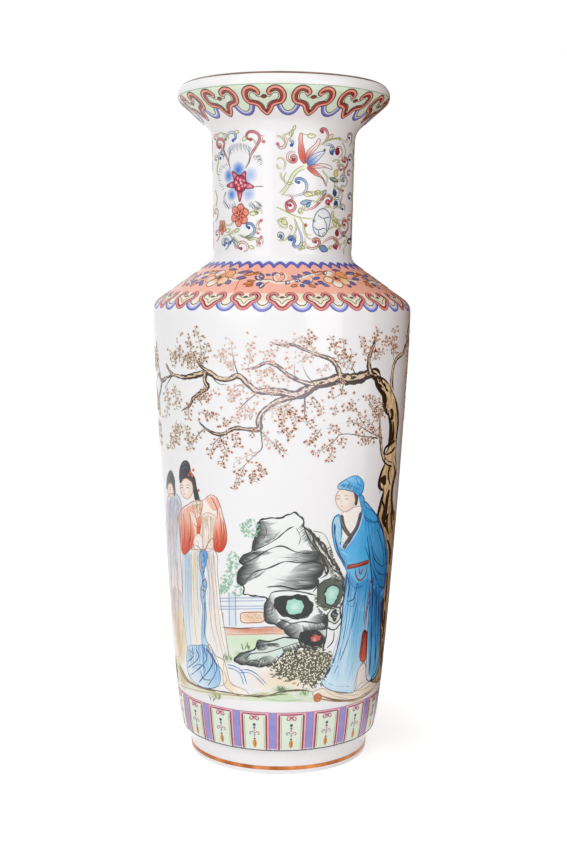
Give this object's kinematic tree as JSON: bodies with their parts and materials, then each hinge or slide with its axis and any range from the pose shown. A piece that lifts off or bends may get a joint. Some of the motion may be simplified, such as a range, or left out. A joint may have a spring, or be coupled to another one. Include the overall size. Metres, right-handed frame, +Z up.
{
  "type": "rouleau vase",
  "caption": "Tall porcelain rouleau vase with a flared lipped mouth, straight neck, sloping shoulder, tapering painted body and recessed foot, for flowers or display.",
  "frame": {"origin": "centre of the standing rim, on the surface the vase stands on", "axes": "+Z up along the vase's axis, -Y toward the painted front that the picture shows, +X to the right of that front"},
  "size_m": [0.1772, 0.1772, 0.4603],
  "materials": {
    "porcelain": "clear gloss glaze",
    "luting_slip": "fired slip, matt",
    "border_enamel": "gloss enamel",
    "scene_enamel": "gloss enamel",
    "coral_enamel": "gloss enamel",
    "scroll_enamel": "gloss enamel",
    "gilding": "burnished gilt"
  },
  "bodies": {
    "root": {"foot_ring": "porcelain", "floor_disc": "porcelain", "lower_body": "porcelain", "upper_body": "porcelain", "shoulder": "porcelain", "neck": "porcelain", "foot_lute": "luting_slip", "floor_lute": "luting_slip", "waist_lute": "luting_slip", "shoulder_lute": "luting_slip", "neck_lute": "luting_slip", "foot_border": "border_enamel", "scene_front": "scene_enamel", "scene_back": "scene_enamel", "shoulder_band": "coral_enamel", "neck_scroll": "scroll_enamel", "mouth_border": "border_enamel", "lip_gilding": "gilding", "foot_gilding": "gilding"}
  },
  "joints": []
}
